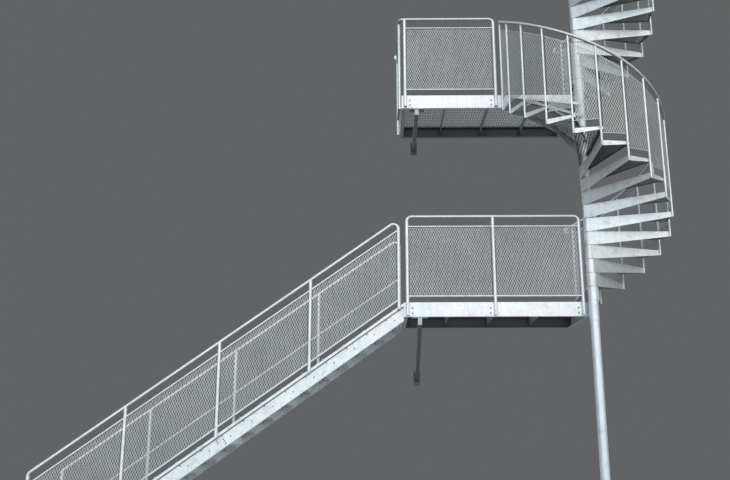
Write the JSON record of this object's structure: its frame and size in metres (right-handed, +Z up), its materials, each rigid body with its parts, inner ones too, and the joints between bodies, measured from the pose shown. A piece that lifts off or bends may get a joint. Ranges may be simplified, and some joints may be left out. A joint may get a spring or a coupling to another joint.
{
  "type": "fire escape stair",
  "caption": "Galvanised outside stair: a straight flight to the first landing, then a spiral round one column to two more landings, with mesh-filled guards.",
  "frame": {"origin": "on the column's axis, at the centre of the underside of its base plate, at ground level", "axes": "+Z up; +X to the right as seen from outside, so the landings and the straight flight lie towards -X; +Y towards the rear face that the landings are anchored to"},
  "size_m": [7.992, 2.2661, 10.0769],
  "materials": {
    "galvanised_pale": "hot-dip galvanised, pale and even",
    "galvanised": "hot-dip galvanised, faint spangle",
    "galvanised_dull": "hot-dip galvanised, weathered dull",
    "mesh_sheet": "galvanised expanded metal"
  },
  "bodies": {
    "root": {"column": "galvanised_pale", "column_base": "galvanised", "column_cap": "galvanised", "landing_collars": "galvanised", "landing_1_front_channel": "galvanised_pale", "landing_1_side_channels": "galvanised", "landing_1_rear_ledger": "galvanised", "landing_1_joists": "galvanised", "landing_1_grating": "galvanised_dull", "landing_1_guard": "galvanised_pale", "landing_1_guard_mesh": "mesh_sheet", "landing_1_strut": "galvanised", "landing_2_front_channel": "galvanised_pale", "landing_2_side_channels": "galvanised", "landing_2_rear_ledger": "galvanised", "landing_2_joists": "galvanised", "landing_2_grating": "galvanised_dull", "landing_2_guard": "galvanised_pale", "landing_2_guard_mesh": "mesh_sheet", "landing_2_strut": "galvanised", "landing_3_front_channel": "galvanised_pale", "landing_3_side_channels": "galvanised", "landing_3_rear_ledger": "galvanised", "landing_3_joists": "galvanised", "landing_3_grating": "galvanised_dull", "landing_3_guard": "galvanised_pale", "landing_3_guard_mesh": "mesh_sheet", "landing_3_strut": "galvanised", "landing_3_end_guard": "galvanised_pale", "spiral_1_treads": "galvanised", "spiral_1_balusters": "galvanised_pale", "spiral_1_handrail": "galvanised_pale", "spiral_1_mesh": "mesh_sheet", "spiral_2_treads": "galvanised", "spiral_2_balusters": "galvanised_pale", "spiral_2_handrail": "galvanised_pale", "spiral_2_mesh": "mesh_sheet", "flight_outer_stringer": "galvanised_pale", "flight_inner_stringer": "galvanised_pale", "flight_splices": "galvanised", "flight_treads": "galvanised_dull", "flight_outer_guard": "galvanised_pale", "flight_outer_guard_mesh": "mesh_sheet", "flight_inner_rail": "galvanised_pale", "flight_feet": "galvanised_dull"}
  },
  "joints": []
}
